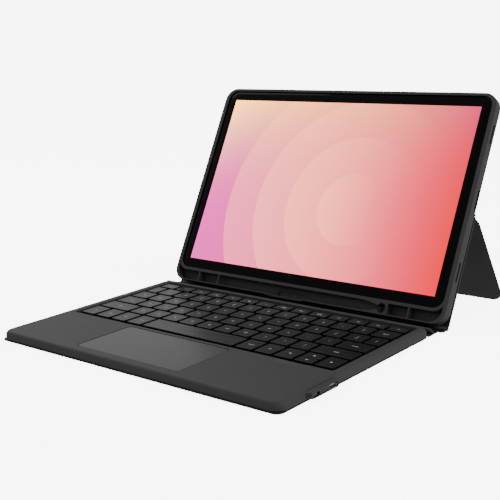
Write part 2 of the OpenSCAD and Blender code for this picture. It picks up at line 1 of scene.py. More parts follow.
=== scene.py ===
# Tablet keyboard case, open in its typing position.
# Units are metres. The sections follow the case as it is put together, from the leather cover up.
import math

import bmesh
import bpy
from mathutils import Matrix, Vector


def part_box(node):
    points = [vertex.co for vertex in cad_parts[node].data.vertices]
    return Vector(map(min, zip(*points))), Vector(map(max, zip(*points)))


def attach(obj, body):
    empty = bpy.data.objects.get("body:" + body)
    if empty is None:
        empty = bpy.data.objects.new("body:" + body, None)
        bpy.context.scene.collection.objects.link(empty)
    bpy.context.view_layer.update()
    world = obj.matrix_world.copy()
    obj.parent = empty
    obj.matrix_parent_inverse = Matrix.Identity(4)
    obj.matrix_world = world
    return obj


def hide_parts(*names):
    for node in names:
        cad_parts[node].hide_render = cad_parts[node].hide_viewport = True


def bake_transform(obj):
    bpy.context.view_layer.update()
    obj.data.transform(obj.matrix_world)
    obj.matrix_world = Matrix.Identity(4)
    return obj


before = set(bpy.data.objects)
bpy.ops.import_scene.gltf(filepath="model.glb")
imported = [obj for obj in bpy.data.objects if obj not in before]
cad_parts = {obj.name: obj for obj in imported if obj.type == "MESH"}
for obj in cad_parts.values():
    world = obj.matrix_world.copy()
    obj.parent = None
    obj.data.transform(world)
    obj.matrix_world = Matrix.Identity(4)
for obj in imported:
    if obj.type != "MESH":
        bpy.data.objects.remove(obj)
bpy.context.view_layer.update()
mm = 0.001


# --- Camera, light and floor -------------------------------------------------------------------
# A long lens from the front right, a little above the deck, in a bright white studio. Large soft
# lights stand at the left, at the right and overhead, so that every side keeps its tone.
def linear(code):
    """A colour as linear red, green, blue and alpha, from its sRGB hex code."""
    parts = [int(code[i:i + 2], 16) / 255 for i in (0, 2, 4)]
    return [p / 12.92 if p <= 0.04045 else ((p + 0.055) / 1.055) ** 2.4 for p in parts] + [1.0]


def put(tree, kind, links=None, **settings):
    """Adds a node, sets its settings, and fills its sockets with values or with other sockets."""
    node = tree.nodes.new(kind)
    for name, value in settings.items():
        setattr(node, name, value)
    for socket, value in (links or {}).items():
        if isinstance(value, bpy.types.NodeSocket):
            tree.links.new(value, node.inputs[socket])
        else:
            node.inputs[socket].default_value = value
    return node


view_azimuth = math.radians(39.13)
view_height = math.radians(12.6)
view_roll = math.radians(1.67)
view_distance = 0.6984
view_target = Vector((0.01071, 0.03164, 0.05954))
back = Vector((
    math.sin(view_azimuth) * math.cos(view_height),
    -math.cos(view_azimuth) * math.cos(view_height),
    math.sin(view_height),
))
lens = bpy.data.cameras.new("studio_camera")
lens.sensor_width = 36
lens.lens = 70.1352
camera = bpy.data.objects.new("studio_camera", lens)
camera.location = view_target + back * view_distance
turn = (-back).to_track_quat("-Z", "Y") @ Matrix.Rotation(-view_roll, 4, "Z").to_quaternion()
camera.rotation_mode = "QUATERNION"
camera.rotation_quaternion = turn
bpy.context.scene.collection.objects.link(camera)
bpy.context.scene.camera = camera

studio = bpy.data.worlds.new("white_studio")
studio.use_nodes = True
studio.node_tree.nodes["Background"].inputs["Color"].default_value = (1, 1, 1, 1)
studio.node_tree.nodes["Background"].inputs["Strength"].default_value = 1.0
bpy.context.scene.world = studio


def softbox(name, place, aim, width, power):
    light = bpy.data.lights.new(name, "AREA")
    light.shape = "SQUARE"
    light.size = width
    light.energy = power
    lamp = bpy.data.objects.new(name, light)
    lamp.location = place
    lamp.rotation_mode = "QUATERNION"
    lamp.rotation_quaternion = (Vector(aim) - Vector(place)).to_track_quat("-Z", "Y")
    bpy.context.scene.collection.objects.link(lamp)


softbox("left_softbox", (-0.9, 0.2, 0.9), (0, 0, 0.05), 0.7, 6)
softbox("top_softbox", (0.2, -0.1, 1.3), (0, 0, 0), 0.9, 2)
softbox("right_softbox", (1.1, 0.2, 0.5), (0, 0, 0.05), 0.7, 9)


def finish(name):
    """A new material, its node tree and its shader."""
    made = bpy.data.materials.new(name)
    made.use_nodes = True
    return made, made.node_tree, made.node_tree.nodes["Principled BSDF"]


# Matt white paper, lit through from behind as on a light table, so that it stays nearly white
white_paper, tree, shader = finish("white_paper")
place = put(tree, "ShaderNodeTexCoord").outputs["Object"]
fibre = put(tree, "ShaderNodeTexNoise", {"Vector": place, "Scale": 900.0, "Detail": 2.0})
tree.links.new(put(tree, "ShaderNodeBump", {
    "Height": fibre.outputs["Fac"], "Strength": 0.05, "Distance": 0.0001,
}).outputs["Normal"], shader.inputs["Normal"])
shader.inputs["Base Color"].default_value = linear("F4F4F4")
shader.inputs["Roughness"].default_value = 0.9
shader.inputs["Emission Color"].default_value = (1, 1, 1, 1)
shader.inputs["Emission Strength"].default_value = 6.5


def stand(name, bm, material, place=Matrix()):
    """Makes a piece of a bmesh drawn in millimetres, at its place in metres."""
    bmesh.ops.recalc_face_normals(bm, faces=bm.faces)
    bm.transform(Matrix.Scale(mm, 4) @ place)
    mesh = bpy.data.meshes.new(name)
    bm.to_mesh(mesh)
    bm.free()
    mesh.materials.append(material)
    mesh.shade_smooth()
    piece = bpy.data.objects.new(name, mesh)
    bpy.context.scene.collection.objects.link(piece)
    return piece


bm = bmesh.new()
bmesh.ops.create_grid(bm, x_segments=1, y_segments=1, size=3000)
bmesh.ops.translate(bm, vec=(0, 0, -0.3), verts=bm.verts)
floor = stand("floor", bm, white_paper)
bm = bmesh.new()
bmesh.ops.create_uvsphere(bm, u_segments=48, v_segments=24, radius=20000)
cove = stand("studio_cove", bm, white_paper)
for screen_cloth in (floor, cove):
    screen_cloth.visible_diffuse = False
    screen_cloth.visible_glossy = False
    screen_cloth.visible_shadow = False


# --- Leather cover: base sheet -----------------------------------------------------------------
# One millimetre of black pebbled synthetic leather under the whole deck. It is cut with round
# corners and turned edges, and shows as a thin line around the foot of the deck.
def mm_box(node):
    """A CAD node's lowest and highest corners, in millimetres."""
    low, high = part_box(node)
    return low / mm, high / mm


def slab(width, depth, z0, z1, corner, upper=0.0, under=0.0, at=(0, 0), steps=5):
    """A plate in millimetres with round corners and rounded upper and lower edges."""
    bm = bmesh.new()
    bmesh.ops.create_grid(bm, x_segments=1, y_segments=1, size=0.5)
    bmesh.ops.scale(bm, vec=(width, depth, 1), verts=bm.verts)
    if corner:
        bmesh.ops.bevel(
            bm, geom=bm.verts[:], offset=corner, segments=8, profile=0.5,
            affect="VERTICES", material=-1, offset_type="OFFSET",
        )
    bmesh.ops.translate(bm, vec=(at[0], at[1], z0), verts=bm.verts)
    raised = bmesh.ops.extrude_face_region(bm, geom=bm.faces[:])["geom"]
    bmesh.ops.translate(
        bm, vec=(0, 0, z1 - z0), verts=[g for g in raised if isinstance(g, bmesh.types.BMVert)])
    bmesh.ops.recalc_face_normals(bm, faces=bm.faces)
    for level, radius, count in ((z1, upper, steps), (z0, under, max(2, steps - 2))):
        if radius:
            rim = [e for e in bm.edges if all(abs(v.co.z - level) < 1e-4 for v in e.verts)]
            bmesh.ops.bevel(
                bm, geom=rim, offset=radius, segments=count, profile=0.5,
                affect="EDGES", material=-1, offset_type="OFFSET",
            )
    return bm


def settle(piece):
    """Gives a piece's flat faces flat shading beside their rounded edges."""
    normals = piece.modifiers.new("flat_faces", "WEIGHTED_NORMAL")
    normals.keep_sharp = True
    normals.weight = 100
    return piece


# Synthetic leather: polyurethane pressed with a fine pebble. The pebbles are 0.9 mm apart, drawn
# a little coarser than real so that they show, and break the shine into soft points.
black_leather, tree, shader = finish("pebbled_black_leather")
place = put(tree, "ShaderNodeTexCoord").outputs["Object"]
pebble = put(tree, "ShaderNodeTexVoronoi", {"Vector": place, "Scale": 1100.0, "Randomness": 1.0})
mottle = put(tree, "ShaderNodeTexNoise", {"Vector": place, "Scale": 60.0, "Detail": 4.0})
shade = put(tree, "ShaderNodeMix", {
    "Factor": mottle.outputs["Fac"], 6: linear("0F0F10"), 7: linear("161617"),
}, data_type="RGBA")
tree.links.new(shade.outputs[2], shader.inputs["Base Color"])
wear = put(tree, "ShaderNodeMapRange", {
    "Value": mottle.outputs["Fac"], "To Min": 0.48, "To Max": 0.66,
})
shader.inputs["Specular IOR Level"].default_value = 0.2
tree.links.new(wear.outputs["Result"], shader.inputs["Roughness"])
tree.links.new(put(tree, "ShaderNodeBump", {
    "Height": pebble.outputs["Distance"], "Strength": 0.35, "Distance": 0.00012,
}).outputs["Normal"], shader.inputs["Normal"])

low, high = mm_box("base_cover")
fold_in = 2.0
cover = stand("base_cover_leather", slab(
    high.x - low.x - 1.2, high.y - low.y - fold_in, low.z, high.z, 5.5, 0.35, 0.35,
    (0, (low.y + high.y - fold_in) / 2)), black_leather)
settle(cover)
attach(cover, "deck")
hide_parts("base_cover")


# --- Deck shell --------------------------------------------------------------------------------
# The keyboard's body: one moulding with a wide radius around its palm rest. It has a sunk well for
# the keys, a shallow seat for the trackpad and a slanted one for the smoked window.
def carve(piece, *cutters, rim=0.0):
    """Cuts the cutters out of a piece, rounds the rims left by the cuts, and throws them away."""
    for cutter in cutters:
        cut = piece.modifiers.new("cut", "BOOLEAN")
        cut.operation = "DIFFERENCE"
        cut.solver = "EXACT"
        cut.object = cutter
    if rim:
        soft = piece.modifiers.new("soft_rims", "BEVEL")
        soft.width = rim * mm
        soft.segments = 2
        soft.limit_method = "ANGLE"
        soft.angle_limit = math.radians(38)
    bpy.context.view_layer.update()
    graph = bpy.context.evaluated_depsgraph_get()
    mesh = bpy.data.meshes.new_from_object(piece.evaluated_get(graph))
    piece.modifiers.clear()
    piece.data = mesh
    mesh.shade_smooth()
    for cutter in cutters:
        bpy.data.objects.remove(cutter)
    return piece


# Polycarbonate, moulded in a fine spark-eroded texture under soft-touch lacquer: dark grey, with
# a faint, broad shine.
deck_plastic, tree, shader = finish("soft_touch_polycarbonate")
place = put(tree, "ShaderNodeTexCoord").outputs["Object"]
spark = put(tree, "ShaderNodeTexNoise", {"Vector": place, "Scale": 2600.0, "Detail": 2.0})
cloud = put(tree, "ShaderNodeTexNoise", {"Vector": place, "Scale": 25.0, "Detail": 3.0})
shade = put(tree, "ShaderNodeMix", {
    "Factor": cloud.outputs["Fac"], 6: linear("2E2E2F"), 7: linear("333334"),
}, data_type="RGBA")
tree.links.new(shade.outputs[2], shader.inputs["Base Color"])
rub = put(tree, "ShaderNodeMapRange", {"Value": cloud.outputs["Fac"], "To Min": 0.5, "To Max": 0.6})
shader.inputs["Specular IOR Level"].default_value = 0.08
tree.links.new(rub.outputs["Result"], shader.inputs["Roughness"])
tree.links.new(put(tree, "ShaderNodeBump", {
    "Height": spark.outputs["Fac"], "Strength": 0.12, "Distance": 0.00005,
}).outputs["Normal"], shader.inputs["Normal"])

# Glass-filled nylon inside the well and the bay: nearly black, dull and slightly grainy
well_plastic, tree, shader = finish("black_glass_filled_nylon")
place = put(tree, "ShaderNodeTexCoord").outputs["Object"]
grain = put(tree, "ShaderNodeTexNoise", {"Vector": place, "Scale": 1500.0, "Detail": 2.0})
shade = put(tree, "ShaderNodeMix", {
    "Factor": grain.outputs["Fac"], 6: linear("0C0C0D"), 7: linear("141415"),
}, data_type="RGBA")
tree.links.new(shade.outputs[2], shader.inputs["Base Color"])
tree.links.new(put(tree, "ShaderNodeBump", {
    "Height": grain.outputs["Fac"], "Strength": 0.2, "Distance": 0.00005,
}).outputs["Normal"], shader.inputs["Normal"])
shader.inputs["Roughness"].default_value = 0.6

low, high = mm_box("deck_shell")
deck_top = high.z
shell = stand("deck_shell_moulding", slab(
    high.x - low.x, high.y - low.y, low.z, high.z, 8.5, 3.3, 0.6, (0, 0), 7), deck_plastic)
escape_low, escape_high = mm_box("escape_key")
side_gap, end_gap = 3.2, 4.5
well_x0, well_x1 = escape_low.x - side_gap, mm_box("right_arrow_key")[1].x + side_gap
well_y0, well_y1 = mm_box("space_key")[0].y - end_gap, escape_high.y + end_gap
well_floor, above_deck = 2.6, 12
well = stand("well_cut", slab(
    well_x1 - well_x0, well_y1 - well_y0, well_floor, above_deck, 2,
    at=((well_x0 + well_x1) / 2, (well_y0 + well_y1) / 2)), well_plastic)
pad_low, pad_high = mm_box("trackpad_glass")
pad_mid = (pad_low + pad_high) / 2
groove, pad_floor = 0.5, 4.2
pad_seat = stand("pad_cut", slab(
    pad_high.x - pad_low.x + 2 * groove, pad_high.y - pad_low.y + 2 * groove,
    pad_floor, above_deck, 3.5, at=(pad_mid.x, pad_mid.y)), well_plastic)
window_low, window_high = mm_box("indicator_window")
window_mid = (window_low + window_high) / 2
window_slant = 2.6
bm = slab(
    window_high.x - window_low.x + 0.4, window_high.y - window_low.y + 1.2,
    deck_top - 1.2, above_deck, 0, at=(window_mid.x, window_mid.y + 0.4))
# The window is narrower at its front edge
for v in bm.verts:
    if v.co.y < window_mid.y:
        v.co.x += window_slant if v.co.x < window_mid.x else -window_slant
window_seat = stand("window_cut", bm, well_plastic)
port_low, port_high = mm_box("port_housing")
port_seat = stand("port_cut", slab(
    20, port_high.y - port_low.y - 5.8, 0, port_high.z + 0.1, 0.4,
    at=(port_low.x + 9.9, (port_low.y + port_high.y) / 2)), well_plastic)
carve(shell, well, pad_seat, window_seat, port_seat, rim=0.3)
settle(shell)
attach(shell, "deck")
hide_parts("deck_shell")


def redress(material, *nodes):
    """Gives CAD nodes their real finish."""
    for node in nodes:
        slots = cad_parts[node].data.materials
        slots.clear()
        slots.append(material)


redress(well_plastic, "key_membrane", "key_plate", "bottom_plate", "trackpad_frame", "switch_body")


# --- Deck inside: board, battery, cable, screws and magnets --------------------------------------
# The electronics lie on the bottom plate beside the trackpad, and four small screws hold the plate
# to the shell. None of it shows when the case is whole.
# Solder-masked glass-fibre board: dark green with a faint weave
board_green, tree, shader = finish("solder_masked_board")
place = put(tree, "ShaderNodeTexCoord").outputs["Object"]
weave = put(tree, "ShaderNodeTexWave", {"Vector": place, "Scale": 400.0, "Distortion": 1.0})
shade = put(tree, "ShaderNodeMix", {
    "Factor": weave.outputs["Fac"], 6: linear("123A26"), 7: linear("18482F"),
}, data_type="RGBA")
tree.links.new(shade.outputs[2], shader.inputs["Base Color"])
shader.inputs["Roughness"].default_value = 0.35
redress(board_green, "main_board", "trackpad_board")

# Nickel-plated steel: bright, with fine drawn scratches
plated_steel, tree, shader = finish("nickel_plated_steel")
place = put(tree, "ShaderNodeTexCoord").outputs["Object"]
scratch = put(tree, "ShaderNodeTexNoise", {"Vector": place, "Scale": 700.0, "Detail": 3.0})
rub = put(tree, "ShaderNodeMapRange", {
    "Value": scratch.outputs["Fac"], "To Min": 0.22, "To Max": 0.38,
})
tree.links.new(rub.outputs["Result"], shader.inputs["Roughness"])
shader.inputs["Base Color"].default_value = linear("C4C4C8")
shader.inputs["Metallic"].default_value = 1.0
redress(
    plated_steel, "deck_screws", "usb_receptacle", "deck_magnets", "kickstand_magnets",
    "trackpad_switch")

# Laminated pouch foil round the cell: pale grey, crumpled a little at the folds
pouch_foil, tree, shader = finish("laminated_pouch_foil")
place = put(tree, "ShaderNodeTexCoord").outputs["Object"]
crumple = put(tree, "ShaderNodeTexNoise", {"Vector": place, "Scale": 120.0, "Detail": 5.0})
tree.links.new(put(tree, "ShaderNodeBump", {
    "Height": crumple.outputs["Fac"], "Strength": 0.3, "Distance": 0.0003,
}).outputs["Normal"], shader.inputs["Normal"])
shader.inputs["Base Color"].default_value = linear("B4B6BA")
shader.inputs["Metallic"].default_value = 0.6
shader.inputs["Roughness"].default_value = 0.35
redress(pouch_foil, "battery")

# Polyimide film over copper: amber and glossy
amber_film, tree, shader = finish("polyimide_flex_film")
place = put(tree, "ShaderNodeTexCoord").outputs["Object"]
trace = put(tree, "ShaderNodeTexWave", {"Vector": place, "Scale": 300.0})
shade = put(tree, "ShaderNodeMix", {
    "Factor": trace.outputs["Fac"], 6: linear("8A5A1C"), 7: linear("B57A2A"),
}, data_type="RGBA")
tree.links.new(shade.outputs[2], shader.inputs["Base Color"])
shader.inputs["Roughness"].default_value = 0.3
redress(amber_film, "flex_cable")

# Moulded silicone domes and acetal scissors under the keys: dark grey, slightly cloudy
dark_rubber, tree, shader = finish("moulded_silicone")
place = put(tree, "ShaderNodeTexCoord").outputs["Object"]
haze = put(tree, "ShaderNodeTexNoise", {"Vector": place, "Scale": 200.0, "Detail": 2.0})
shade = put(tree, "ShaderNodeMix", {
    "Factor": haze.outputs["Fac"], 6: linear("2A2A2B"), 7: linear("343435"),
}, data_type="RGBA")
tree.links.new(shade.outputs[2], shader.inputs["Base Color"])
shader.inputs["Roughness"].default_value = 0.5
redress(dark_rubber, "rubber_domes", "scissor_lifts")


# --- Port housing and power switch ---------------------------------------------------------------
# A flared block stands out of the deck's right side, with the charging port and a slide switch in
# its sunk face.
low, high = mm_box("port_housing")
side = Matrix.Rotation(math.radians(90), 4, "Y")


def on_side(y, z):
    """The matrix that stands a shape drawn flat on the deck's right side, its width upright."""
    return Matrix.Translation((0, y, z)) @ side


deck_side = mm_box("deck_shell")[1].x
flare_h, flare_l = high.z - low.z, high.y - low.y
bm = slab(flare_h, flare_l, deck_side - 3, high.x, flare_h / 2 - 0.1, 0.3)
for v in bm.verts:
    # The block flares towards the deck
    if v.co.z > deck_side:
        v.co.y *= (flare_l - 6) / flare_l
        v.co.x *= 0.95
# ABS, moulded with a plain satin face: a little darker than the deck
satin_abs, tree, shader = finish("satin_moulded_abs")
place = put(tree, "ShaderNodeTexCoord").outputs["Object"]
flow = put(tree, "ShaderNodeTexNoise", {"Vector": place, "Scale": 180.0, "Detail": 3.0})
shade = put(tree, "ShaderNodeMix", {
    "Factor": flow.outputs["Fac"], 6: linear("161617"), 7: linear("1E1E1F"),
}, data_type="RGBA")
tree.links.new(shade.outputs[2], shader.inputs["Base Color"])
shader.inputs["Roughness"].default_value = 0.5
shader.inputs["Specular IOR Level"].default_value = 0.3
housing = stand(
    "port_housing_block", bm, satin_abs, on_side((low.y + high.y) / 2, (low.z + high.z) / 2))
usb_low, usb_high = mm_box("usb_receptacle")
usb_y, usb_z = (usb_low.y + usb_high.y) / 2, (usb_low.z + usb_high.z) / 2
knob_low, knob_high = mm_box("switch_knob")
knob_y = (knob_low.y + knob_high.y) / 2
slot_y = knob_y + 1
sunk = stand("face_cut", slab(
    flare_h - 1.9, flare_l - 9, high.x - 0.6, high.x + 4, (flare_h - 2.0) / 2), satin_abs,
    on_side((low.y + high.y) / 2, usb_z))
usb_hole = stand("usb_cut", slab(3.4, 9.1, 100, 140, 1.69), well_plastic, on_side(usb_y, usb_z))
knob_hole = stand("knob_cut", slab(2.4, 6, 100, 140, 1.19), well_plastic, on_side(slot_y, usb_z))
carve(housing, sunk, usb_hole, knob_hole, rim=0.12)
settle(housing)
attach(housing, "deck")
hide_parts("port_housing")

# Acetal: black and slick, with a fine moulded grain
slick_acetal, tree, shader = finish("black_acetal")
place = put(tree, "ShaderNodeTexCoord").outputs["Object"]
knob_grain = put(tree, "ShaderNodeTexNoise", {"Vector": place, "Scale": 900.0})
tree.links.new(put(tree, "ShaderNodeBump", {
    "Height": knob_grain.outputs["Fac"], "Strength": 0.1, "Distance": 0.00005,
}).outputs["Normal"], shader.inputs["Normal"])
shader.inputs["Base Color"].default_value = linear("161617")
shader.inputs["Roughness"].default_value = 0.3
bm = slab(2.1, knob_high.y - knob_low.y, knob_low.x, knob_high.x, 1.0, 0.3)
knob = stand("switch_knob_slider", bm, slick_acetal, on_side(knob_y, usb_z))
settle(knob)
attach(knob, "power_switch")
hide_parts("switch_knob")


# --- Trackpad and indicator window ---------------------------------------------------------------
# Etched glass with a ground edge floats in its seat and clicks at the front. The smoked window sits
# between the pad and the arrow keys, over four small lamps.
# Acid-etched glass over dark grey ink: smooth, with a soft wide shine
etched_glass, tree, shader = finish("etched_trackpad_glass")
place = put(tree, "ShaderNodeTexCoord").outputs["Object"]
etch = put(tree, "ShaderNodeTexNoise", {"Vector": place, "Scale": 3000.0, "Detail": 1.0})
touch = put(tree, "ShaderNodeTexNoise", {"Vector": place, "Scale": 35.0, "Detail": 3.0})
rub = put(tree, "ShaderNodeMapRange", {
    "Value": touch.outputs["Fac"], "To Min": 0.26, "To Max": 0.32,
})
shader.inputs["Specular IOR Level"].default_value = 0.13
tree.links.new(rub.outputs["Result"], shader.inputs["Roughness"])
tree.links.new(put(tree, "ShaderNodeBump", {
    "Height": etch.outputs["Fac"], "Strength": 0.05, "Distance": 0.00003,
}).outputs["Normal"], shader.inputs["Normal"])
shader.inputs["Base Color"].default_value = linear("28282A")
pad = stand("trackpad_panel", slab(
    pad_high.x - pad_low.x, pad_high.y - pad_low.y, pad_low.z, pad_high.z, 3, 0.25,
    at=(pad_mid.x, pad_mid.y)), etched_glass)
settle(pad)
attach(pad, "trackpad")
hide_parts("trackpad_glass")

# Smoked acrylic: near black and glossy
smoked_acrylic, tree, shader = finish("smoked_acrylic")
place = put(tree, "ShaderNodeTexCoord").outputs["Object"]
smear = put(tree, "ShaderNodeTexNoise", {"Vector": place, "Scale": 90.0, "Detail": 2.0})
rub = put(tree, "ShaderNodeMapRange", {
    "Value": smear.outputs["Fac"], "To Min": 0.12, "To Max": 0.2,
})
tree.links.new(rub.outputs["Result"], shader.inputs["Roughness"])
shader.inputs["Base Color"].default_value = linear("0E0E10")
redress(smoked_acrylic, "indicator_window")

# Light guides of the four lamps: clear polycarbonate, unlit
lamp_guide, tree, shader = finish("unlit_light_guide")
place = put(tree, "ShaderNodeTexCoord").outputs["Object"]
frost = put(tree, "ShaderNodeTexNoise", {"Vector": place, "Scale": 500.0})
tree.links.new(put(tree, "ShaderNodeBump", {
    "Height": frost.outputs["Fac"], "Strength": 0.1, "Distance": 0.00005,
}).outputs["Normal"], shader.inputs["Normal"])
shader.inputs["Base Color"].default_value = linear("C8CCC8")
shader.inputs["Roughness"].default_value = 0.4
redress(lamp_guide, "status_leds")


# --- Keys ----------------------------------------------------------------------------------------
# Low scissor keys with slightly dished, bevelled caps. The legends are small, white and printed in
# the middle of each cap, and ride with their key.
# ABS key caps under a satin hard coat: near black, and bright where they face the lit room
key_plastic, tree, shader = finish("hard_coated_abs")
place = put(tree, "ShaderNodeTexCoord").outputs["Object"]
coat = put(tree, "ShaderNodeTexNoise", {"Vector": place, "Scale": 2200.0, "Detail": 1.0})
oil = put(tree, "ShaderNodeTexNoise", {"Vector": place, "Scale": 70.0, "Detail": 2.0})
rub = put(tree, "ShaderNodeMapRange", {"Value": oil.outputs["Fac"], "To Min": 0.24, "To Max": 0.3})
shader.inputs["Specular IOR Level"].default_value = 0.1
tree.links.new(rub.outputs["Result"], shader.inputs["Roughness"])
tree.links.new(put(tree, "ShaderNodeBump", {
    "Height": coat.outputs["Fac"], "Strength": 0.06, "Distance": 0.00004,
}).outputs["Normal"], shader.inputs["Normal"])
shader.inputs["Base Color"].default_value = linear("0E0E0F")

# Screen-printed legends: flat white ink, a touch of grain
white_ink, tree, shader = finish("white_legend_ink")
place = put(tree, "ShaderNodeTexCoord").outputs["Object"]
speck = put(tree, "ShaderNodeTexNoise", {"Vector": place, "Scale": 1500.0})
shade = put(tree, "ShaderNodeMix", {
    "Factor": speck.outputs["Fac"], 6: linear("8A8A8A"), 7: linear("A0A0A0"),
}, data_type="RGBA")
tree.links.new(shade.outputs[2], shader.inputs["Base Color"])
shader.inputs["Roughness"].default_value = 0.6


def legend(text, size, x, y, z):
    """A printed legend as a bmesh in millimetres, centred at a place."""
    curve = bpy.data.curves.new("legend", "FONT")
    curve.body = text
    curve.size = size
    curve.extrude = 0.02
    curve.resolution_u = 2
    curve.space_line = 0.8
    curve.align_x = "CENTER"
    curve.align_y = "CENTER"
    label = bpy.data.objects.new("legend", curve)
    bpy.context.scene.collection.objects.link(label)
    bpy.context.view_layer.update()
    graph = bpy.context.evaluated_depsgraph_get()
    mesh = bpy.data.meshes.new_from_object(label.evaluated_get(graph))
    bpy.data.objects.remove(label)
    mesh.transform(Matrix.Translation((x, y, z)))
    return mesh


key_gap = 2.6
cap_corner, cap_edge = 1.3, 0.3
dish_rim, dish_depth = 1.4, 0.1
ink_t = 0.01
cap_rows = {
    "escape_key": ["esc"],
    "function_keys": ["☀", "☀", "□□", "○", "●", "☾", "◀◀", "▶II",
                      "▶▶", "◁", "◁)", "◁))", "○"],
    "grave_key": ["~\n`"],
    "number_keys": ["!\n1", "@\n2", "#\n3", "$\n4", "%\n5", "^\n6",
                    "&\n7", "*\n8", "(\n9", ")\n0", "_\n-", "+\n="],
    "backspace_key": ["back"],
    "tab_key": ["tab"],
    "upper_letter_keys": list("QWERTYUIOP") + ["{\n[", "}\n]"],
    "backslash_key": ["|\n\\"],
    "caps_key": ["caps"],
    "home_letter_keys": list("ASDFGHJKL") + [":\n;", "\"\n'"],
    "enter_key": ["enter"],
    "left_shift_key": ["shift"],
    "lower_letter_keys": list("ZXCVBNM") + ["<\n,", ">\n.", "?\n/"],
    "right_shift_key": ["shift"],
    "left_modifier_keys": ["fn", "ctrl", "alt", "cmd"],
    "space_key": [""],
    "right_modifier_keys": ["cmd", "alt"],
    "left_arrow_key": ["◀"],
    "up_arrow_key": ["▲"],
    "down_arrow_key": ["▼"],
    "right_arrow_key": ["▶"],
}
for node, labels in cap_rows.items():
    low, high = mm_box(node)
    pitch = (high.x - low.x + key_gap) / len(labels)
    caps = bmesh.new()
    prints = bmesh.new()
    for i, text in enumerate(labels):
        width, depth = pitch - key_gap, high.y - low.y
        middle = (low.x + i * pitch + width / 2, (low.y + high.y) / 2)
        cap = slab(width, depth, low.z, high.z, cap_corner, cap_edge, at=middle, steps=2)
        top = max(cap.faces, key=lambda f: f.calc_center_median().z)
        bmesh.ops.inset_region(cap, faces=[top], thickness=dish_rim, depth=0)
        bmesh.ops.translate(cap, vec=(0, 0, -dish_depth), verts=top.verts)
        part = bpy.data.meshes.new("cap")
        cap.to_mesh(part)
        cap.free()
        caps.from_mesh(part)
        bpy.data.meshes.remove(part)
        if text:
            word = len(text) > 1 and "\n" not in text and text[0].isalpha()
            size = 2.5 if word else 2.6 if "\n" in text else 3.2 if text.isalpha() else 2.4
            part = legend(text, size, middle[0], middle[1], high.z - dish_depth + ink_t)
            prints.from_mesh(part)
            bpy.data.meshes.remove(part)
    piece = stand(node + "_caps", caps, key_plastic)
    settle(piece)
    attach(piece, node)
    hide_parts(node)
    if prints.verts:
        ink = stand(node + "_legends", prints, white_ink)
        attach(ink, node)
    else:
        prints.free()


# --- Spine and folds -----------------------------------------------------------------------------
# The same leather runs on behind the deck, narrow at first and then as wide as the back panel,
# where it folds up. Each fold is bare leather with nothing stiff in it.
tilt = math.radians(62)
glass_t = 0.7
glass_low, glass_high = mm_box("tablet_glass")
screen = (
    Matrix.Translation((glass_low + glass_high) / 2) @ Matrix.Rotation(tilt, 4, "X")
    @ Matrix.Translation((0, 0, -(glass_t - 0.02) / 2)))
low, high = mm_box("spine")
crease = 0.15
fold_y0, fold_y1 = low.y - crease, high.y + crease
sheet_t = high.z - low.z
narrow = mm_box("deck_shell")[1].x
wide = high.x
step_y = high.y - 7
bm = slab(
    2 * narrow - 0.8, step_y - low.y - 1, 0, sheet_t, 0.6, 0.3, 0.3,
    (0, (low.y + 2 + step_y + 1) / 2))
strap = stand("spine_leather", bm, black_leather)
settle(strap)
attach(strap, "spine")
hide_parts("spine")
# The soft shoulder: a flap of the moulded skin that runs down from the deck's rear edge onto the
# spine
bm = bmesh.new()
edge = [bm.edges.new([bm.verts.new((x, 85.4, 6.75)) for x in (-narrow + 0.6, narrow - 0.6)])]
# Each strip of the flap reaches a little further back and lower, in a soft S
for out, down in (
    (1.4, -0.25), (1.4, -0.6), (1.4, -1.0), (1.3, -1.3), (1.3, -1.2), (1.3, -0.8), (1.2, -0.35),
):
    moved = bmesh.ops.extrude_edge_only(bm, edges=edge)["geom"]
    fresh = [g for g in moved if isinstance(g, bmesh.types.BMVert)]
    bmesh.ops.translate(bm, vec=(0, out, down), verts=fresh)
    edge = [g for g in moved if isinstance(g, bmesh.types.BMEdge)
            and all(v in fresh for v in g.verts)]
shoulder = stand("shoulder_flap", bm, deck_plastic)
skin = shoulder.modifiers.new("thickness", "SOLIDIFY")
skin.thickness = 0.8 * mm
skin.offset = -1
bpy.context.view_layer.update()
shoulder.data = bpy.data.meshes.new_from_object(
    shoulder.evaluated_get(bpy.context.evaluated_depsgraph_get()))
shoulder.modifiers.clear()
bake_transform(shoulder)
bm = slab(2 * wide, 5.4, 0, sheet_t, 2.6, 0.3, 0.3, (0, step_y + 2.7))
flap = stand("spine_wide_leather", bm, black_leather)
settle(flap)
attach(flap, "spine")


def fold_strip(name, half, run, turn_at, angle, tail):
    """A leather strip that lies flat, turns up about a fold line and runs on, one sheet thick."""
    bm = bmesh.new()
    ends = [bm.verts.new((x, turn_at - run, 0)) for x in (-half, half)]
    edge = [bm.edges.new(ends)]
    for stretch in range(3):
        moved = bmesh.ops.extrude_edge_only(bm, edges=edge)["geom"]
        bmesh.ops.translate(
            bm, vec=(0, run / 3, 0), verts=[g for g in moved if isinstance(g, bmesh.types.BMVert)])
        edge = [g for g in moved if isinstance(g, bmesh.types.BMEdge)
                and abs(g.verts[0].co.y - g.verts[1].co.y) < 1e-5]
    if angle:
        moved = bmesh.ops.spin(
            bm, geom=edge, cent=(0, turn_at, sheet_t), axis=(1, 0, 0), angle=angle,
            steps=8)["geom_last"]
        edge = [g for g in moved if isinstance(g, bmesh.types.BMEdge)]
    moved = bmesh.ops.extrude_edge_only(bm, edges=edge)["geom"]
    bmesh.ops.translate(
        bm, vec=(0, tail * math.cos(angle), tail * math.sin(angle)),
        verts=[g for g in moved if isinstance(g, bmesh.types.BMVert)])
    return bm


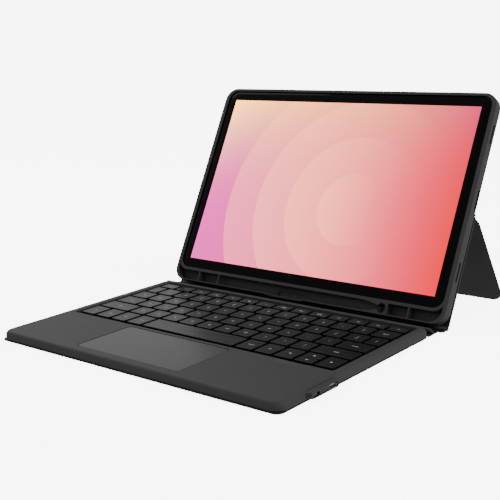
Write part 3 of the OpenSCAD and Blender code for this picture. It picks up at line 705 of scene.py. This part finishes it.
for name, half, run, turn_at, angle, bodies in (
    ("deck_fold_leather", narrow - 0.4, 2.2, fold_y0, 0.0, ("deck", "spine")),
    ("panel_fold_leather", wide, 1.6, fold_y1, tilt, ("spine", "tray")),
):
    strip = stand(name, fold_strip(name, half, run, turn_at, angle, 2.2), black_leather)
    skin = strip.modifiers.new("thickness", "SOLIDIFY")
    skin.thickness = 0.85 * mm
    skin.offset = -1
    graph = bpy.context.evaluated_depsgraph_get()
    strip.data = bpy.data.meshes.new_from_object(strip.evaluated_get(graph))
    strip.modifiers.clear()
    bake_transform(strip)


# --- Tray ----------------------------------------------------------------------------------------
# A moulded tray holds the tablet with a thin lip over its glass. Below the tablet it has a bay: a
# long trough for a pen that narrows like a bullet, with a round pocket and small bins at its ends.
tray_back, tablet_t = 1.8, 6.3
tray_floor = -(tablet_t + 0.8)
tray_z0, lip_z0, lip_z1 = tray_floor - tray_back, 0.1, 1.1
tablet_w, tablet_h, tablet_corner = 253.8, 165.3, 9.0
pocket_w, pocket_h = tablet_w + 0.6, tablet_h + 0.6
tray_w, tray_y1 = pocket_w + 5.2, pocket_h / 2 + 1.4
bay_wall, bay_h, bay_edge, bay_end = 1.5, 8.1, 1.2, 2.9
bay_y1 = -pocket_h / 2 - bay_wall
bay_y0 = bay_y1 - bay_h
bay_mid = (bay_y0 + bay_y1) / 2
tray_y0 = bay_y0 - bay_edge
tray_h, tray_mid = tray_y1 - tray_y0, (tray_y0 + tray_y1) / 2
bay_floor = tray_floor + 0.2


def cutter(bm, place=Matrix()):
    """A shape drawn in the tray's own frame, as a cutter."""
    return stand("cutter", bm, well_plastic, screen @ place)


def bar(x0, x1, y0, y1, z0, z1, corner=0.0):
    return slab(x1 - x0, y1 - y0, z0, z1, corner, at=((x0 + x1) / 2, (y0 + y1) / 2))


tray = stand("tray_moulding", slab(
    tray_w, tray_h, tray_z0, lip_z1, 11, 0.5, 2.3, (0, tray_mid), 4), deck_plastic, screen)
pocket = cutter(slab(pocket_w, pocket_h, tray_floor, lip_z0, tablet_corner + 0.3))
mouth = cutter(slab(tablet_w - 1.2, tablet_h - 1.2, -1, 6, tablet_corner - 0.5))
bins = cutter(slab(
    tray_w - 2 * bay_end, tray_h - 2 * bay_edge, bay_floor, 6, 9.8, at=(0, tray_mid)))
# What is left of the bay once the pocket's wall, two ribs and the trough's block stand in it
carve(
    bins,
    cutter(slab(
        pocket_w + 2 * bay_wall, pocket_h + 2 * bay_wall, -30, 30,
        tablet_corner + 0.3 + bay_wall)),
    cutter(bar(-102.5, -101.5, -100, -70, -30, 30)),
    cutter(bar(-81.2, 83, -100, -70, -30, 30)),
    cutter(bar(100, 101, -100, -70, -30, 30)),
)
groove_x0, taper_x, taper_l, round_x, round_r = -80.2, 57, 18, 78.1, 3.7
button_bars, button_z = (("volume_cover", -46, 20), ("power_cover", -80, 11)), -3.2
trough = slab(taper_x - groove_x0, bay_h, bay_floor + 0.4, 6.2, 0, under=bay_h / 2 - 0.2, steps=9,
              at=((groove_x0 + taper_x) / 2, bay_mid))
# The trough's bullet end: half of a long oval
nose_r = bay_h / 2 - 0.1
nose = bmesh.new()
bmesh.ops.create_circle(nose, cap_ends=True, segments=32, radius=nose_r)
bmesh.ops.scale(nose, vec=(taper_l / nose_r, 1, 1), verts=nose.verts)
bmesh.ops.translate(nose, vec=(taper_x, bay_mid, -5.7), verts=nose.verts)
raised = bmesh.ops.extrude_face_region(nose, geom=nose.faces[:])["geom"]
bmesh.ops.translate(
    nose, vec=(0, 0, 12), verts=[g for g in raised if isinstance(g, bmesh.types.BMVert)])
well_round = bmesh.new()
bmesh.ops.create_cone(
    well_round, cap_ends=True, segments=40, radius1=round_r, radius2=round_r, depth=20)
# The front wall dips between two slanted ends, so that a finger can reach the pen
cut_away = bar(-25.7, 3.3, bay_y0 - 5, bay_y0 + 2, -4, 6)
for v in cut_away.verts:
    if v.co.z > 0:
        v.co.x += 8.3 if v.co.x > -11.2 else -8.3
carve(
    tray, pocket, mouth, bins,
    cutter(trough),
    cutter(nose),
    cutter(bar(70, round_x, bay_mid - 1.8, bay_mid + 1.8, -5.5, 6.6)),
    cutter(well_round, Matrix.Translation((round_x, bay_mid, bay_floor + 10))),
    cutter(bar(-21.6, 8.8, bay_y0 + 0.3, bay_y0 + 4.7, tray_z0 + 0.9, 7, 2)),
    cutter(cut_away),
    cutter(bar(125.5, 140, -5, 9.6, -6.2, -3.4)),
    cutter(bar(-122, -90, 57.5, 74.5, tray_z0 - 1, tray_floor + 1, 6)),
    *[cutter(slab(2.4, 15, -4, 4, 1.19), Matrix.Translation((s * tray_w / 2, y, -3)) @ side)
      for s in (-1, 1) for y in (-53, 53)],
    *[cutter(slab(length + 0.6, 3.8, -3, 3, 1.89), Matrix.Translation((x, tray_y1, button_z))
             @ Matrix.Rotation(math.pi / 2, 4, "X")) for node, x, length in button_bars],
    rim=0.2,
)
settle(tray)
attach(tray, "tray")
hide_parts("tray", "tray_lip")

# Microfibre behind the tablet: a short, dark nap
microfibre, tree, shader = finish("microfibre_lining")
place = put(tree, "ShaderNodeTexCoord").outputs["Object"]
nap = put(tree, "ShaderNodeTexNoise", {"Vector": place, "Scale": 900.0, "Detail": 4.0})
shade = put(tree, "ShaderNodeMix", {
    "Factor": nap.outputs["Fac"], 6: linear("1A1A1B"), 7: linear("2C2C2D"),
}, data_type="RGBA")
tree.links.new(shade.outputs[2], shader.inputs["Base Color"])
shader.inputs["Roughness"].default_value = 0.95
redress(microfibre, "tray_liner")

# Button covers: thermoplastic rubber bars, fixed in their slots in the tray's top wall
rubber_bar, tree, shader = finish("thermoplastic_rubber")
place = put(tree, "ShaderNodeTexCoord").outputs["Object"]
bloom = put(tree, "ShaderNodeTexNoise", {"Vector": place, "Scale": 300.0, "Detail": 3.0})
shade = put(tree, "ShaderNodeMix", {
    "Factor": bloom.outputs["Fac"], 6: linear("2A2A2B"), 7: linear("363637"),
}, data_type="RGBA")
tree.links.new(shade.outputs[2], shader.inputs["Base Color"])
shader.inputs["Roughness"].default_value = 0.7
for node, x, length in button_bars:
    bump = stand(
        node + "_bar", slab(length, 3.2, -1.4, 0.05, 1.55, 0.5), rubber_bar,
        screen @ Matrix.Translation((x, tray_y1 + 0.65, button_z))
        @ Matrix.Rotation(-math.pi / 2, 4, "X"))
    settle(bump)
    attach(bump, node)
    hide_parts(node)


# --- Back panel and kickstand --------------------------------------------------------------------
# Stiff board between two skins of leather. The lower half is bonded to the tray, and the upper
# half swings out on a leather fold as the stand.
panel_t, panel_w = 1.9, 259.0
panel_z0 = tray_z0 - panel_t
kick_y, kick_cut, kick_back = -7.5, 1.2, 0.2
axis_y = tray_y0 - 0.15
lower = stand("back_panel_leather", slab(
    panel_w, kick_y - kick_cut - axis_y - 2.2, panel_z0, tray_z0 - 0.02, 0.6, 0.2, 0.5,
    (0, (kick_y - kick_cut + axis_y + 2.2) / 2)), black_leather, screen)
settle(lower)
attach(lower, "tray")
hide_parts("back_panel_skin", "back_panel_board")
kick_low, kick_high = mm_box("kickstand_fold")
hinge = (kick_low + kick_high) / 2
kick_l = tray_y1 - kick_y
# The stand slopes down from its hinge until its tip is on the table
slope = math.asin((hinge.z - 0.1) / math.hypot(kick_l, kick_back)) - math.atan(kick_back / kick_l)
stand_frame = Matrix.Translation(hinge) @ Matrix.Rotation(-slope, 4, "X")
leaf = stand("kickstand_leather", slab(
    panel_w, kick_l - kick_cut, -kick_back, panel_t - kick_back - 0.2, 9.5, 0.5, 0.5,
    (0, (kick_l + kick_cut) / 2)), black_leather, stand_frame)
camera_hole = stand(
    "hole", slab(32, 17, -5, 5, 6, at=(-106, 66 - kick_y)), black_leather, stand_frame)
carve(leaf, camera_hole)
settle(leaf)
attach(leaf, "kickstand")
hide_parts("kickstand_skin", "kickstand_board")
redress(black_leather, "kickstand_fold")


# --- Tablet --------------------------------------------------------------------------------------
# An aluminium-backed tablet, with glass over its whole front and an even black border around the
# lit picture.
# Bead-blasted anodised aluminium: even silver grey with a soft sparkle
anodised_shell, tree, shader = finish("anodised_aluminium")
place = put(tree, "ShaderNodeTexCoord").outputs["Object"]
blast = put(tree, "ShaderNodeTexNoise", {"Vector": place, "Scale": 2500.0, "Detail": 2.0})
tree.links.new(put(tree, "ShaderNodeBump", {
    "Height": blast.outputs["Fac"], "Strength": 0.1, "Distance": 0.00004,
}).outputs["Normal"], shader.inputs["Normal"])
shader.inputs["Base Color"].default_value = linear("8E9094")
shader.inputs["Metallic"].default_value = 1.0
shader.inputs["Roughness"].default_value = 0.38
redress(anodised_shell, "tablet_shell")
redress(smoked_acrylic, "tablet_display", "tablet_camera")

# Cover glass with black ink behind its border: deep black and clear
border_glass, tree, shader = finish("cover_glass_border")
place = put(tree, "ShaderNodeTexCoord").outputs["Object"]
smear = put(tree, "ShaderNodeTexNoise", {"Vector": place, "Scale": 40.0, "Detail": 3.0})
rub = put(tree, "ShaderNodeMapRange", {
    "Value": smear.outputs["Fac"], "To Min": 0.04, "To Max": 0.09,
})
tree.links.new(rub.outputs["Result"], shader.inputs["Roughness"])
shader.inputs["Base Color"].default_value = linear("020202")
shader.inputs["Specular IOR Level"].default_value = 0.05

# The lit picture: soft overlapping discs and a slow change of colour, shining on its own
lit_picture, tree, shader = finish("lit_screen_picture")
place = put(tree, "ShaderNodeTexCoord").outputs["Object"]
flat = put(tree, "ShaderNodeMapping", {
    "Vector": place, "Location": screen.to_translation() * mm, "Rotation": (tilt, 0, 0),
}, vector_type="TEXTURE")
axes = put(tree, "ShaderNodeSeparateXYZ", {"Vector": flat.outputs["Vector"]})
across = put(tree, "ShaderNodeMapRange", {
    "Value": axes.outputs["X"], "From Min": -0.118, "From Max": 0.118,
})
upward = put(tree, "ShaderNodeMapRange", {
    "Value": axes.outputs["Y"], "From Min": -0.074, "From Max": 0.074,
})
# The light colours outshine the deep ones where they mix, so each share is bent to even them out
to_right = put(tree, "ShaderNodeMath", {0: across.outputs["Result"], 1: 0.36}, operation="POWER")
to_top = put(tree, "ShaderNodeMath", {0: upward.outputs["Result"], 1: 4.0}, operation="POWER")
foot = put(tree, "ShaderNodeMix", {
    "Factor": across.outputs["Result"], 6: linear("97256A"), 7: linear("90060F"),
}, data_type="RGBA")
head = put(tree, "ShaderNodeMix", {
    "Factor": to_right.outputs["Value"], 6: linear("FFBC5B"), 7: linear("821937"),
}, data_type="RGBA")
wash = put(tree, "ShaderNodeMix", {
    "Factor": to_top.outputs["Value"], 6: foot.outputs[2], 7: head.outputs[2],
}, data_type="RGBA").outputs[2]
# Four discs lie over each other, each lit from its left edge and clear at its right
disc_x, disc_y = 0.028, -0.016
for radius in (0.122, 0.092, 0.061, 0.030):
    away = put(tree, "ShaderNodeVectorMath", {
        0: flat.outputs["Vector"], 1: (disc_x, disc_y, 0),
    }, operation="DISTANCE")
    inside = put(tree, "ShaderNodeMapRange", {
        "Value": away.outputs["Value"], "From Min": radius - 0.0004, "From Max": radius,
        "To Min": 1.0, "To Max": 0.0,
    })
    fade = put(tree, "ShaderNodeMapRange", {
        "Value": axes.outputs["X"], "From Min": disc_x - radius, "From Max": disc_x + 0.7 * radius,
        "To Min": 0.14, "To Max": 0.0,
    })
    share = put(tree, "ShaderNodeMath", {
        0: inside.outputs["Result"], 1: fade.outputs["Result"],
    }, operation="MULTIPLY")
    wash = put(tree, "ShaderNodeMix", {
        "Factor": share.outputs["Value"], 6: wash, 7: linear("FFA56A"),
    }, data_type="RGBA").outputs[2]
tree.links.new(wash, shader.inputs["Emission Color"])
shader.inputs["Emission Strength"].default_value = 6.2
shader.inputs["Base Color"].default_value = linear("050506")
shader.inputs["Roughness"].default_value = 0.06
shader.inputs["Specular IOR Level"].default_value = 0.25

bm = slab(tablet_w - 0.8, tablet_h - 0.8, -glass_t + 0.02, 0, 8.6, 0.15, steps=2)
top = max(bm.faces, key=lambda f: f.calc_center_median().z)
bmesh.ops.inset_region(bm, faces=[top], thickness=8.5, depth=0, use_even_offset=True)
top.material_index = 1
glass = stand("tablet_cover_glass", bm, border_glass, screen)
glass.data.materials.append(lit_picture)
glass.visible_glossy = False
glass.visible_diffuse = False
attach(glass, "tablet")
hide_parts("tablet_glass")
